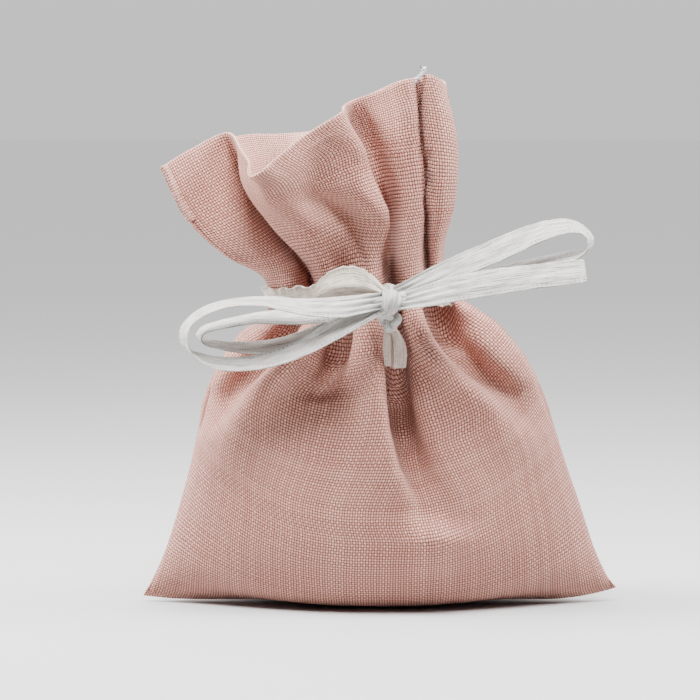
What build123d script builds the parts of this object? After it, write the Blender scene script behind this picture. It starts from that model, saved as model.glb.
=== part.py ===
"""Fabric gift sack: two sewn cloth panels gathered by a ribbon tie, with a bow at the front.

Millimetres, +Z up, front of the sack towards -Y, origin at the centre of the flat base.
"""
from build123d import *
import math
import os

# Driving dimensions
BASE_HALF_WIDTH = 55.0
BASE_HALF_DEPTH = 17.0
CLOTH_WALL = 0.8
SEAM_HALF_WIDTH = 0.7
SEAM_ALLOWANCE = 4.0
HEM_DEPTH = 15.0
HEM_WALL = 0.6

RIBBON_WIDTH = 6.0
RIBBON_THICKNESS = 0.6
RIBBON_TILT = 40.0
BAND_THICKNESS = 0.8
FRONT_RIBBON_Y = -22.4
BACK_RIBBON_Y = -17.3

BOW_KNOT_X = 1.8
BOW_KNOT_Z = 72.0
BOW_KNOT_RADIUS = 3.3
BOW_KNOT_FRONT_Y = -25.4
BOW_KNOT_BACK_Y = -8.0
NECK_KNOT_RADIUS = 2.5
NECK_KNOT_Y = -16.0
NECK_KNOT_Z = 66.6
NECK_TAIL_WIDTH = 2.6
NECK_TAIL_THICKNESS = 0.6
NECK_TAIL_LENGTH = 9.0
NECK_TAIL_TOP_Z = 64.9

THREAD_RADIUS = 0.6
THREAD_LENGTH = 14.0

FAR = 400.0

# Cross-sections of the filled sack from its base to its mouth, each an ellipse:
# centre x, centre z, half width, half depth, tilt about Y in degrees (right side up)
BASE_SECTION = (0.0, 0.0, BASE_HALF_WIDTH, BASE_HALF_DEPTH, 0.0)
POUCH_SECTIONS = [
    (0.2, 7.0, 53.4, 21.5, 0.0),
    (0.0, 15.0, 49.6, 24.0, 0.0),
    (-0.2, 25.0, 45.8, 24.5, 0.0),
    (-0.8, 38.0, 42.2, 22.0, 0.0),
    (-1.3, 48.0, 39.6, 18.0, 0.5),
    (-1.8, 56.0, 36.0, 14.5, 1.5),
    (-2.8, 63.0, 30.0, 11.5, 3.5),
    (-4.6, 69.5, 23.6, 10.0, 6.0),
]
NECK_SECTION = (-6.0, 75.0, 20.6, 9.5, 7.5)
FRILL_SECTIONS = [
    (-6.8, 80.0, 21.0, 9.6, 8.5),
    (-10.0, 88.0, 25.6, 10.8, 10.5),
    (-13.8, 97.0, 31.0, 12.6, 13.0),
    (-18.0, 110.0, 34.0, 14.2, 16.0),
]
MOUTH_SECTION = FRILL_SECTIONS[-1]


def section_plane(section):
    """Plane of one cross-section, its local x axis along the sack's width."""
    centre_x, centre_z, _, _, tilt = section
    slope = math.radians(tilt)
    return Plane(
        origin=(centre_x, 0, centre_z),
        x_dir=(math.cos(slope), 0, math.sin(slope)),
        z_dir=(-math.sin(slope), 0, math.cos(slope)),
    )


def lofted(sections, grow):
    """Smooth solid through cross-sections that are widened by grow."""
    with BuildPart() as body:
        for section in sections:
            with BuildSketch(section_plane(section)):
                Ellipse(section[2] + grow, section[3] + grow)
        loft()
    return body.part


def sack_solid(grow=0.0, floor=0.0):
    """Solid bounded by the cloth's outer surface, moved outwards by grow."""
    bottom = (BASE_SECTION[0], floor) + BASE_SECTION[2:]
    pouch = lofted([bottom] + POUCH_SECTIONS + [NECK_SECTION], grow)
    frill = lofted([NECK_SECTION] + FRILL_SECTIONS, grow)
    with BuildPart() as body:
        add(pouch)
        add(frill)
    return body.part


def layer(inner_grow, outer_grow):
    """Layer between two offsets of the cloth's outer surface, open at base and mouth."""
    outside = sack_solid(outer_grow)
    inside = sack_solid(inner_grow)
    with BuildPart() as between:
        add(outside)
        add(inside, mode=Mode.SUBTRACT)
    return between.part


def above_hem_line():
    """Space above the hem's lower edge, which is parallel to the mouth."""
    plane = section_plane(MOUTH_SECTION).offset(-HEM_DEPTH)
    with BuildPart() as space:
        with BuildSketch(plane):
            Rectangle(FAR, FAR)
        extrude(amount=FAR)
    return space.part


def region_box(low, high):
    """Box between two corners, which keeps one region of a larger shape."""
    size = [b - a for a, b in zip(low, high)]
    middle = [(a + b) / 2 for a, b in zip(low, high)]
    with BuildPart() as box:
        with Locations(tuple(middle)):
            Box(*size)
    return box.part


def side_half(side):
    """Space in front of the seam (side -1) or behind it (side +1)."""
    low_y, high_y = sorted((side * SEAM_HALF_WIDTH, side * FAR))
    return region_box((-FAR, low_y, -FAR), (FAR, high_y, FAR))


def finish(piece, name):
    """Name a finished piece and write it."""
    piece.part.label = name
    export_step(piece.part, f"parts/{name}.step")
    print(f"{name}: {piece.part.volume:.1f} mm3, {len(piece.part.solids())} solid")


# Cloth panels: the shell on each side of the seam line

def panel(name, side):
    """Front (side -1) or back (side +1) panel, from base to mouth."""
    outside = sack_solid()
    inside = sack_solid(-CLOTH_WALL, CLOTH_WALL)
    half = side_half(side)
    with BuildPart() as piece:
        add(outside)
        add(inside, mode=Mode.SUBTRACT)
        add(half, mode=Mode.INTERSECT)
    finish(piece, name)


def hem(name, side):
    """Turned-in hem that lies against the inside of a panel below the mouth."""
    turned_in = layer(-CLOTH_WALL - HEM_WALL, -CLOTH_WALL)
    half = side_half(side)
    band = above_hem_line()
    with BuildPart() as piece:
        add(turned_in)
        add(half, mode=Mode.INTERSECT)
        add(band, mode=Mode.INTERSECT)
    finish(piece, name)


def seam(name, low, high):
    """Sewn seam between the panels with its allowance turned inwards."""
    outside = sack_solid()
    inside = sack_solid(-SEAM_ALLOWANCE, SEAM_ALLOWANCE)
    strip = region_box(low, high)
    with BuildPart() as piece:
        add(outside)
        add(inside, mode=Mode.SUBTRACT)
        add(strip, mode=Mode.INTERSECT)
    finish(piece, name)


# Tie round the neck

def neck_band():
    """Ribbon round the gathered neck, one ribbon width high."""
    plane = section_plane(NECK_SECTION)
    around_cloth = layer(0.0, BAND_THICKNESS)
    with BuildPart() as piece:
        add(around_cloth)
        with BuildSketch(plane.offset(-RIBBON_WIDTH / 2)):
            Rectangle(FAR, FAR)
        extrude(amount=RIBBON_WIDTH, mode=Mode.INTERSECT)
    finish(piece, "neck_band")


def lobe_prism():
    """Prism over the arched outline of the ribbon between the band and the bow knot."""
    foot_left = (-15.2, 73.2)
    foot_right = (1.2, 74.0)
    with BuildPart() as prism:
        with BuildSketch(Plane.XZ):
            with BuildLine():
                ThreePointArc(foot_left, (-8.2, 80.2), foot_right)
                Line(foot_right, foot_left)
            make_face()
        extrude(amount=FAR)
    return prism.part


def neck_band_lobe():
    """Arched bit of the tie that stands over the band at the left of the bow knot."""
    around_band = layer(BAND_THICKNESS, 2 * BAND_THICKNESS)
    arch = lobe_prism()
    with BuildPart() as piece:
        add(around_band)
        add(arch, mode=Mode.INTERSECT)
    finish(piece, "neck_band_lobe")


def bow_knot():
    """Barrel of the bow's knot, from the neck tie out past the bow's ribbons."""
    wrapped_neck = sack_solid(2 * BAND_THICKNESS)
    with BuildPart() as piece:
        with BuildSketch(Plane.XZ.offset(-BOW_KNOT_BACK_Y)):
            with Locations((BOW_KNOT_X, BOW_KNOT_Z)):
                Circle(BOW_KNOT_RADIUS)
        extrude(amount=BOW_KNOT_BACK_Y - BOW_KNOT_FRONT_Y)
        fillet(piece.faces().sort_by(Axis.Y)[0].edges(), BOW_KNOT_RADIUS / 3)
        add(wrapped_neck, mode=Mode.SUBTRACT)
    finish(piece, "bow_knot")


def neck_knot():
    """Small knot of the neck tie, just under the bow knot."""
    with BuildPart() as piece:
        with Locations((BOW_KNOT_X, NECK_KNOT_Y, NECK_KNOT_Z)):
            Sphere(NECK_KNOT_RADIUS)
        with BuildSketch(Plane.XZ):
            with Locations((BOW_KNOT_X, BOW_KNOT_Z)):
                Circle(BOW_KNOT_RADIUS)
        extrude(amount=FAR, mode=Mode.SUBTRACT)
    finish(piece, "neck_knot")


def neck_tail(name, centre_x):
    """Short cut end of the neck tie, hanging under its knot."""
    ball = neck_knot_clearance()
    with BuildPart() as piece:
        with Locations((centre_x, NECK_KNOT_Y, NECK_TAIL_TOP_Z - NECK_TAIL_LENGTH / 2)):
            Box(NECK_TAIL_WIDTH, NECK_TAIL_THICKNESS, NECK_TAIL_LENGTH)
        add(ball, mode=Mode.SUBTRACT)
    finish(piece, name)


def neck_knot_clearance():
    """Ball a little larger than the neck knot, which its hanging ends stay clear of."""
    with BuildPart() as ball:
        with Locations((BOW_KNOT_X, NECK_KNOT_Y, NECK_KNOT_Z)):
            Sphere(NECK_KNOT_RADIUS + 0.3)
    return ball.part


# Ribbons of the bow: each route is a list of (x, z) points

OUTER_LEFT_ROUTE = [
    (-2.0, 71.9), (-8.5, 70.4), (-17.0, 70.6), (-27.0, 72.6), (-35.5, 72.2),
    (-41.5, 69.8), (-44.9, 66.0), (-45.0, 62.2), (-41.5, 58.7), (-36.0, 57.0),
    (-27.0, 57.5), (-17.5, 61.0), (-9.0, 65.8), (-2.2, 69.2),
]
INNER_LEFT_ROUTE = [
    (-2.1, 70.9), (-9.0, 68.9), (-18.0, 67.8), (-27.0, 68.3), (-34.3, 67.6),
    (-39.8, 66.2), (-42.8, 65.0), (-43.9, 63.0), (-42.9, 61.2), (-39.8, 60.3),
    (-34.8, 59.8), (-27.0, 60.0), (-18.5, 62.2), (-10.0, 66.0), (-2.3, 69.6),
]
RIGHT_LOOP_ROUTE = [
    (5.9, 74.2), (11.3, 77.1), (19.5, 81.2), (29.0, 85.3), (36.5, 87.9),
    (42.3, 88.6), (45.8, 87.8), (48.2, 85.6), (48.4, 83.1), (46.2, 81.3),
    (42.0, 79.9), (35.0, 77.4), (27.0, 74.2), (18.5, 71.6), (11.5, 70.6),
    (5.9, 70.7),
]
RIGHT_TAIL_ROUTE = [
    (5.6, 72.4), (11.5, 74.9), (20.0, 76.9), (29.5, 78.1), (38.5, 78.6),
    (47.3, 78.5),
]


def route_radii(points):
    """Radius for each inner point: 0.45 of its shorter run over the tangent of half its turn."""
    radii = []
    for before, here, after in zip(points, points[1:], points[2:]):
        run_in = Vector(*here) - Vector(*before)
        run_out = Vector(*after) - Vector(*here)
        half_turn = math.radians(run_in.get_angle(run_out)) / 2
        radii.append(0.45 * min(run_in.length, run_out.length) / math.tan(half_turn))
    return radii


def ribbon(name, points, centre_y):
    """Flat ribbon along a route in the XZ plane, its width tilted back and up."""
    radii = route_radii(points)
    print(f"{name} radii:", ", ".join(f"{radius:.1f}" for radius in radii))
    tilt = math.radians(RIBBON_TILT)
    across = Vector(0, math.cos(tilt), math.sin(tilt))
    front = Vector(0, centre_y, 0) - across * (RIBBON_WIDTH / 2)
    plane = Plane(origin=front, x_dir=(1, 0, 0), z_dir=(0, -1, 0))
    thickness = RIBBON_THICKNESS / math.cos(tilt)
    with BuildPart() as piece:
        with BuildSketch(plane):
            with BuildLine() as route:
                FilletPolyline(*points, radius=radii)
            trace(line_width=thickness)
        extrude(amount=RIBBON_WIDTH, dir=across)
    length = sum(edge.length for edge in route.line.edges())
    volume = length * RIBBON_WIDTH * RIBBON_THICKNESS
    print(f"{name} length {length:.1f} mm, section times length {volume:.1f} mm3")
    finish(piece, name)


# Loose end of the hem's thread, standing over the mouth

def hem_thread_end():
    """Cut end of thread that stands up behind the front edge of the mouth."""
    foot = (6.6, -7.5, 110.5)
    lean = Vector(0.17, 0.06, 1.0)
    with BuildPart() as piece:
        with BuildSketch(Plane(origin=foot, z_dir=lean)):
            Circle(THREAD_RADIUS)
        extrude(amount=THREAD_LENGTH)
    finish(piece, "hem_thread_end")


os.makedirs("parts", exist_ok=True)

panel("front_panel", -1)
panel("back_panel", 1)
hem("front_hem", -1)
hem("back_hem", 1)
seam("bottom_seam", (-FAR, -SEAM_HALF_WIDTH, -FAR), (FAR, SEAM_HALF_WIDTH, SEAM_ALLOWANCE))
seam("left_side_seam", (-FAR, -SEAM_HALF_WIDTH, SEAM_ALLOWANCE), (MOUTH_SECTION[0], SEAM_HALF_WIDTH, FAR))
seam("right_side_seam", (MOUTH_SECTION[0], -SEAM_HALF_WIDTH, SEAM_ALLOWANCE), (FAR, SEAM_HALF_WIDTH, FAR))

neck_band()
neck_band_lobe()
bow_knot()
neck_knot()
neck_tail("neck_tail_left", BOW_KNOT_X - 1.5)
neck_tail("neck_tail_right", BOW_KNOT_X + 1.5)

ribbon("outer_left_loop", OUTER_LEFT_ROUTE, FRONT_RIBBON_Y)
ribbon("inner_left_loop", INNER_LEFT_ROUTE, BACK_RIBBON_Y)
ribbon("right_loop", RIGHT_LOOP_ROUTE, BACK_RIBBON_Y)
ribbon("right_tail", RIGHT_TAIL_ROUTE, FRONT_RIBBON_Y)

hem_thread_end()
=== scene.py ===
"""Fabric gift sack: woven cloth gathered by a ribbon tie, with a bow at the front."""

import math

import bmesh
import bpy
import numpy as np
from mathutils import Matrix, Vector, noise


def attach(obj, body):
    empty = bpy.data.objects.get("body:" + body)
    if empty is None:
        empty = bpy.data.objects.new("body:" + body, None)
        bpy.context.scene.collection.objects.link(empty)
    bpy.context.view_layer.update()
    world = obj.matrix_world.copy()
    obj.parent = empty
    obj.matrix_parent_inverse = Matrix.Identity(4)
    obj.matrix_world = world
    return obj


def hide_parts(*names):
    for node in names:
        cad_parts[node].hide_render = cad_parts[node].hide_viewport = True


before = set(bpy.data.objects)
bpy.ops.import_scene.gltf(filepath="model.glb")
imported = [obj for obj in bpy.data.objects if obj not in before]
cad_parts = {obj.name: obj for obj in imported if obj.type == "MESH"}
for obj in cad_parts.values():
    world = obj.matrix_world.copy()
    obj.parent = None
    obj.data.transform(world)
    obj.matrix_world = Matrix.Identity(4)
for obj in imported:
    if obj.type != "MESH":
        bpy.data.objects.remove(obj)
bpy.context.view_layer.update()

MM = 0.001

# ---------------------------------------------------------------- camera

CAMERA_ELEVATION = math.radians(5.0)
CAMERA_DISTANCE = 0.8
CAMERA_TARGET = Vector((-0.0069, 0.0, 0.0586))
VIEW_WIDTH = 0.1616
SENSOR = 36.0


def make_camera():
    data = bpy.data.cameras.new("camera")
    data.sensor_width = SENSOR
    data.lens = SENSOR * CAMERA_DISTANCE / VIEW_WIDTH
    data.clip_start = 0.01
    camera = bpy.data.objects.new("camera", data)
    bpy.context.scene.collection.objects.link(camera)
    away = Vector((0, -math.cos(CAMERA_ELEVATION), math.sin(CAMERA_ELEVATION)))
    camera.location = CAMERA_TARGET + away * CAMERA_DISTANCE
    camera.rotation_euler = (math.pi / 2 - CAMERA_ELEVATION, 0, 0)
    bpy.context.scene.camera = camera


make_camera()

# ---------------------------------------------------------------- small helpers


def link(name, mesh):
    """New object from a mesh, in the scene."""
    obj = bpy.data.objects.new(name, mesh)
    bpy.context.scene.collection.objects.link(obj)
    return obj


def mesh_places(mesh):
    """Places of a mesh's vertices."""
    places = np.empty(len(mesh.vertices) * 3)
    mesh.vertices.foreach_get("co", places)
    return places.reshape(-1, 3)


def run_along(points):
    """Distance of each point of a line from its first point, along the line."""
    return np.concatenate([[0.0], np.cumsum(np.linalg.norm(np.diff(points, axis=0), axis=1))])


def unit(vectors):
    """Vectors scaled to a length of one."""
    return vectors / np.linalg.norm(vectors, axis=-1, keepdims=True)


def flat_places(s, t):
    """Grid of flat places in metres, from millimetres across (columns) and along (rows)."""
    return np.stack(np.meshgrid(s, t), axis=2) * MM


def hermite(knots, values, queries):
    """Smooth curve through values at knots, read at queries."""
    knots = np.asarray(knots, float)
    values = np.asarray(values, float)
    queries = np.clip(queries, knots[0], knots[-1])
    slopes = np.empty_like(values)
    steps = np.diff(knots)
    secants = np.diff(values, axis=0) / steps[:, None]
    slopes[0] = secants[0]
    slopes[-1] = secants[-1]
    left = steps[1:, None]
    right = steps[:-1, None]
    slopes[1:-1] = (secants[:-1] * left + secants[1:] * right) / (left + right)
    place = np.clip(np.searchsorted(knots, queries, side="right") - 1, 0, len(knots) - 2)
    step = steps[place][:, None]
    u = (queries - knots[place])[:, None] / step
    near = values[place]
    far = values[place + 1]
    return (
        near * (2 * u**3 - 3 * u**2 + 1)
        + slopes[place] * step * (u**3 - 2 * u**2 + u)
        + far * (-2 * u**3 + 3 * u**2)
        + slopes[place + 1] * step * (u**3 - u**2)
    )


# ---------------------------------------------------------------- sack cloth
# Each panel is cut 110 mm wide and 130 mm long. A point of the cloth is (side, s, t): s runs from
# the left seam to the right seam, t from the bottom seam to the mouth, in millimetres.

FLAT_WIDTH = 110.0
FLAT_LENGTH = 130.0
CELL = 1.6
COLUMNS = round(FLAT_WIDTH / CELL)
ROWS = round(FLAT_LENGTH / CELL)
S_VALUES = np.linspace(0.0, FLAT_WIDTH, COLUMNS + 1)
T_VALUES = np.linspace(0.0, FLAT_LENGTH, ROWS + 1)

# Smooth levels of the pouch: t at the middle, centre x, z at the middle, rise of the ends,
# half width, half depth, tilt in degrees
POUCH_LEVELS = [
    (7, 0.2, 0.4, 5.6, 52.6, 7, 0),
    (14, 0.1, 1.2, 11, 49.8, 13.4, 0),
    (23, 0, 7.5, 15.5, 46.3, 19.2, 0),
    (35, -0.5, 18.8, 17, 42.4, 21.8, 0),
    (48, -1.2, 31.8, 15.5, 39.8, 21, 0),
    (59, -1.7, 42.6, 13.5, 35.6, 18.2, 1),
    (68, -2.4, 51, 12, 30.5, 15, 2),
]
RISE_POWER = 2.5
BOTTOM_HEIGHT = 0.5
# Raised corners of the bottom seam: right or left, start from the middle, length, rise
BOTTOM_CORNERS = [(1, 38.0, 17.0, 2.8), (-1, 42.0, 13.0, 0.9)]
NECK_CENTRE = (-6.0, 74.6)
NECK_TILT = 7.5
NECK_T_LEFT = 92.0
NECK_T_RIGHT = 87.5
NECK_HALF_BAND = 2.4

# Pleats at the neck: s, x, y
NECK_FRONT = [
    (0, -26, 0), (5, -24.9, -4.4), (11, -20.2, -7.2), (15.5, -17.3, -5),
    (21.5, -16, 2), (27.5, -14.6, -5.5), (33, -11.6, -9.4), (38, -8.2, -7.6),
    (43, -4.2, -10.4), (51, 0.4, -8.8), (57, 1.5, -3), (63.5, 2.4, 3),
    (70, 3.4, -3.5), (75.5, 5.2, -8.6), (83, 9.5, -7.4), (87.5, 10.5, -3),
    (92.5, 11, 1.5), (98, 11.8, -3.5), (102.5, 13.3, -5.6), (110, 15, 0),
]
NECK_BACK = [
    (0, -26, 0), (5, -24.6, 4.4), (9, -22.3, 3.6), (13.5, -21.2, -1.6),
    (18, -20, 4), (24, -16.5, 8.6), (31, -12, 8), (37, -9.6, 3),
    (44, -8.4, -4.2), (51, -7, 3), (57, -4, 8.8), (66, 1.2, 9.2),
    (72, 5, 6.6), (81, 6.9, -1.8), (89, 8.7, 5.6), (94, 11.6, 8),
    (102, 14.4, 5.4), (110, 15, 0),
]

# Two levels of the frill and the edge of the mouth: t, then s, x, y, z
FRILL_FRONT = [
    (104, [
        (0, -35.5, -3, 80.5), (10, -28.5, -3, 82), (16, -24.8, -0.5, 83.5),
        (21.5, -22, 5, 85.4), (27.5, -24.2, -6.5, 86.5), (34, -18.8, -13.2, 88),
        (43, -10.5, -13.8, 89.5), (51, -2.5, -12.4, 90.5), (56.5, 2, -9, 91),
        (61, 0.2, -3.5, 91), (64, 1.2, 2, 91), (70, 3.6, -3.5, 91.5),
        (76, 5.5, -8, 92), (82, 8.8, -9, 92.5), (88, 10.4, -6, 92.7),
        (92.5, 10.3, -1, 92.8), (97, 10.7, -5, 92.9), (102, 13.5, -7.8, 93),
        (107, 17.2, -4.5, 93.2), (110, 17.3, -0.5, 93.2),
    ]),
    (117, [
        (0, -44.2, -5, 89.2), (10, -37, 0, 93), (16, -32.5, 4.5, 95.5),
        (20.5, -30, 8, 97.3), (27, -31.4, -5, 96.5), (34, -27, -15, 95.5),
        (41, -20.5, -17.5, 96.5), (48, -14, -16, 99.5), (55, -8, -13.8, 103),
        (60, -3.6, -11.6, 104.5), (64.5, -5.4, -5.5, 105.5), (68.5, -3.6, 1, 106.5),
        (76, 1.5, -5.5, 107.5), (83, 6, -9, 108.5), (89, 8.9, -7.5, 109),
        (93, 9, -1.5, 109), (97, 9.6, -5.5, 109), (102, 13, -8.5, 108.5),
        (107, 17.4, -5, 107.5), (110, 17.8, -0.5, 106.5),
    ]),
    (130, [
        (0, -49.9, -5, 100.7), (9, -43.4, 1, 104.6), (19, -35.6, 6, 108.2),
        (30, -31.6, -8, 104.2), (41, -27.3, -19, 100.6), (53, -17.8, -16, 107.6),
        (63, -8.2, -12, 113.9), (67, -7.9, -6, 114.8), (71, -5.6, -0.8, 116),
        (77, 0.5, -5, 118.3), (85, 5.5, -8.5, 120.6), (90, 8.2, -6, 121),
        (94, 8.6, -0.5, 121.2), (98, 9.2, -5, 121.6), (103, 11.8, -7.5, 121.8),
        (108, 14.4, -4, 120.3), (110, 15, -0.5, 119.4),
    ]),
]
FRILL_BACK = [
    (104, [
        (0, -35.5, -3, 80.5), (8, -29.5, 5, 82.5), (15, -25, 3, 84.5),
        (21, -22.5, 9.5, 85.5), (29, -17, 12, 87.5), (36, -13, 8, 89),
        (42, -11, 1, 89.5), (48, -8.5, 5, 90.5), (55, -5, 11, 91),
        (64, 1, 12, 92), (72, 5.5, 8, 92.5), (80, 7, 0.5, 92.7),
        (87, 9, 6, 93), (94, 12.5, 10, 93), (103, 16.8, 6, 93.2),
        (110, 17.3, -0.5, 93.2),
    ]),
    (117, [
        (0, -44.2, -5, 89.2), (10, -37.5, 5, 93), (19, -31.5, 8.5, 96),
        (28, -25.5, 16.5, 98.2), (37, -19, 16, 99.2), (44, -15, 8, 99.8),
        (50, -12, 8, 101.3), (58, -7.5, 12.5, 103), (67, -1, 14, 105.5),
        (76, 4.5, 9, 107), (83, 6.5, 2, 107.5), (90, 9.5, 7.5, 108),
        (97, 13, 11.5, 108), (104, 17, 7, 107.5), (110, 17.8, -0.5, 106.5),
    ]),
    (130, [
        (0, -49.9, -5, 100.7), (14, -41.5, 8.6, 104.6), (27, -31.5, 18.5, 107.2),
        (38, -22.5, 21, 107.4), (48, -14.5, 16.5, 108.4), (57, -9.6, 7.6, 111.8),
        (66, -4.4, 10, 116), (77, 3.6, 12.4, 119.5), (87, 8.2, 7.4, 120.8),
        (95, 12.2, 10, 121), (103, 15.2, 6, 120.2), (110, 15, -0.5, 119.4),
    ]),
]

# Folds that fan out from the neck over the pouch: z, x, height, half width to the left and right.
# A fold stands out where its height is positive and sinks in where it is negative.
POUCH_FOLDS = {
    "middle_crest": [
        (24, 6, 0, 7, 4), (34, 1.8, 2.2, 7, 2.2), (42, 0.3, 3.8, 6.6, 1.3),
        (48, -0.2, 4.8, 5.8, 1), (54, -0.5, 5, 5, 0.9), (60, -0.9, 4.2, 4.4, 0.9),
        (67, -2, 2, 4, 1.2), (73, -2.6, 0, 4, 1.4),
    ],
    "middle_valley": [
        (19, 11.5, 0, 5, 6), (28, 9.3, -3, 3, 5), (35, 6.6, -5.6, 2.3, 4.6),
        (42, 4.4, -7.6, 1.7, 4), (48, 3.4, -8.8, 1.4, 3.4), (54, 2.9, -9, 1.3, 2.9),
        (60, 2.5, -7.6, 1.3, 2.4), (67, 2.4, -4.4, 1.5, 1.9), (73, 2.4, 0, 1.5, 1.8),
    ],
    "cup": [(9, 12, 0, 8, 9), (17.5, 12, 2.4, 6.5, 9), (23, 11.5, 0, 5, 6)],
    "right_ridge": [
        (32, 33, 0, 10, 7), (44, 27, 2.2, 9, 5), (48, 23, 3.6, 7.4, 4),
        (52, 18.2, 4.6, 6, 3), (57, 13.4, 4.8, 4.6, 2.2), (62, 10.2, 3.8, 3.4, 1.8),
        (68, 8.2, 1.8, 3, 1.8), (73, 7.4, 0, 3, 1.8),
    ],
    "right_valley": [
        (40, 36, 0, 5, 7), (50, 29, -3.6, 4.4, 6), (55, 21.5, -6, 3.2, 5.6),
        (60.5, 16, -7, 2.4, 4.8), (67, 12.6, -4.5, 2, 3.6), (73, 11.4, 0, 2, 3),
    ],
    "left_notch": [
        (48, -14.5, 0, 6, 5), (54, -11.6, -3.2, 3.4, 2.8), (59, -10, -8, 2.2, 2),
        (63, -9.2, -7, 1.8, 1.8), (68, -8.6, -3.6, 1.6, 1.6), (73, -8.2, 0, 1.8, 1.8),
    ],
    "left_ridge": [
        (29, -37, 0, 5, 8), (42, -33.4, 2.6, 4.4, 7), (50, -27.8, 4.4, 3, 5.6),
        (55, -23, 4.8, 2.6, 4.8), (60, -18.6, 4, 2.4, 4), (67, -14.4, 1.8, 2.4, 3.2),
        (73, -12.4, 0, 2.4, 3),
    ],
    "left_valley": [
        (39, -39, 0, 6, 5), (49, -34.4, -4.2, 5, 3.2), (54.5, -29.4, -6.4, 4.2, 2.6),
        (60, -24, -6, 3.6, 2.4), (67, -18.8, -3.2, 3, 2.2), (73, -16.6, 0, 3, 2.2),
    ],
}


def half_ellipse(half_width, half_depth):
    """Points x, y along the front half of an ellipse, evenly spaced for the panel's columns."""
    angle = np.linspace(0.0, math.pi, 721)
    x = -half_width * np.cos(angle)
    y = -half_depth * np.sin(angle)
    run = np.concatenate([[0.0], np.cumsum(np.hypot(np.diff(x), np.diff(y)))])
    wanted = S_VALUES / FLAT_WIDTH * run[-1]
    return np.interp(wanted, run, x), np.interp(wanted, run, y)


def pouch_level(level, side):
    """Place of every column at one smooth level; side is -1 in front and 1 behind."""
    _, centre_x, middle_z, rise, half_width, half_depth, tilt = level
    x, y = half_ellipse(half_width, half_depth)
    z = middle_z + rise * np.abs(x / half_width) ** RISE_POWER + x * math.tan(math.radians(tilt))
    return np.stack([x + centre_x, -side * y, z], axis=1)


def bottom_level():
    """Bottom seam: flat on the floor, its two corners a little raised."""
    x = S_VALUES - FLAT_WIDTH / 2
    z = np.full_like(x, BOTTOM_HEIGHT)
    for way, start, length, rise in BOTTOM_CORNERS:
        z += rise * np.clip((way * x - start) / length, 0.0, 1.0) ** 2
    return np.stack([x, np.zeros_like(x), z], axis=1)


def columns_through(points):
    """Smooth curve through hand-set places (s first), read at every column."""
    points = np.array(points)
    return hermite(points[:, 0], points[:, 1:], S_VALUES)


def neck_middle(s):
    """t of the middle of the neck at s."""
    return NECK_T_LEFT + (NECK_T_RIGHT - NECK_T_LEFT) * s / FLAT_WIDTH


def neck_level(points, height):
    """Pleated ring of the neck, height above its middle measured along the neck."""
    ring = columns_through(points)
    tilt = math.radians(NECK_TILT)
    x = ring[:, 0] - height * math.sin(tilt)
    z = NECK_CENTRE[1] + (ring[:, 0] - NECK_CENTRE[0]) * math.sin(tilt) + height * math.cos(tilt)
    return np.stack([x, ring[:, 1], z], axis=1)


def grid_normals(points, outward):
    """Unit normals of a grid of points, on the side that outward (+1 or -1) picks."""
    along = np.gradient(points, axis=1)
    up = np.gradient(points, axis=0)
    normals = np.cross(along, up) * outward
    return normals / np.maximum(np.linalg.norm(normals, axis=2, keepdims=True), 1e-12)


FOLD_LEANS = {"middle_crest": 0.4, "right_ridge": -0.15, "left_ridge": 0.25}


def add_folds(shape, share, narrowing):
    """Press a share of the folds of the pouch into the front panel, along its normals."""
    x = shape[:, :, 0].copy()
    z = shape[:, :, 2].copy()
    normals = grid_normals(shape, 1.0)
    for name, fold in POUCH_FOLDS.items():
        z_knots, x_knots, heights, left_widths, right_widths = np.array(fold).T
        away = x - np.interp(z, z_knots, x_knots)
        height = np.interp(z, z_knots, heights, left=0.0, right=0.0) * share
        left = np.interp(z, z_knots, left_widths)
        width = np.where(away < 0, left, np.interp(z, z_knots, right_widths))
        lift = height * np.exp(-((away / (width * narrowing)) ** 2))
        shape += normals * lift[:, :, None]
        shape[:, :, 0] += FOLD_LEANS.get(name, 0.0) * lift


def respace(shape):
    """Slide the columns along each row until they are evenly spaced."""
    share = np.linspace(0.0, 1.0, shape.shape[1])
    for row in range(1, len(shape)):
        run = run_along(shape[row])
        for axis in range(3):
            shape[row, :, axis] = np.interp(share * run[-1], run, shape[row, :, axis].copy())


def panel_shape(side):
    """Starting shape of a panel: an array of rows by columns by xyz."""
    neck_points = NECK_FRONT if side < 0 else NECK_BACK
    frill = FRILL_FRONT if side < 0 else FRILL_BACK
    neck_t = neck_middle(S_VALUES)
    levels = [(np.zeros_like(S_VALUES), bottom_level())]
    for level in POUCH_LEVELS:
        levels.append((np.full_like(S_VALUES, level[0]), pouch_level(level, side)))
    levels.append((neck_t - NECK_HALF_BAND, neck_level(neck_points, -NECK_HALF_BAND)))
    levels.append((neck_t + NECK_HALF_BAND, neck_level(neck_points, NECK_HALF_BAND)))
    for t, points in frill:
        levels.append((np.full_like(S_VALUES, t), columns_through(points)))
    shape = np.empty((ROWS + 1, COLUMNS + 1, 3))
    for column in range(COLUMNS + 1):
        knots = [t[column] for t, _ in levels]
        values = [place[column] for _, place in levels]
        shape[:, column] = hermite(knots, values, T_VALUES)
    if side < 0:
        add_folds(shape, 1.0, 1.0)
    respace(shape)
    return shape, neck_t


# The simulation runs ten times larger than life: SIM is its length of one millimetre
SIM = 0.01
FRAMES = 30
FLAT_HALF_GAP = 0.5
# How firmly each part of the cloth keeps to its starting place
GOAL_POUCH = 0.6
GOAL_NECK = 1.0
GOAL_FRILL = 0.55
GOAL_MOUTH = 0.8


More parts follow.
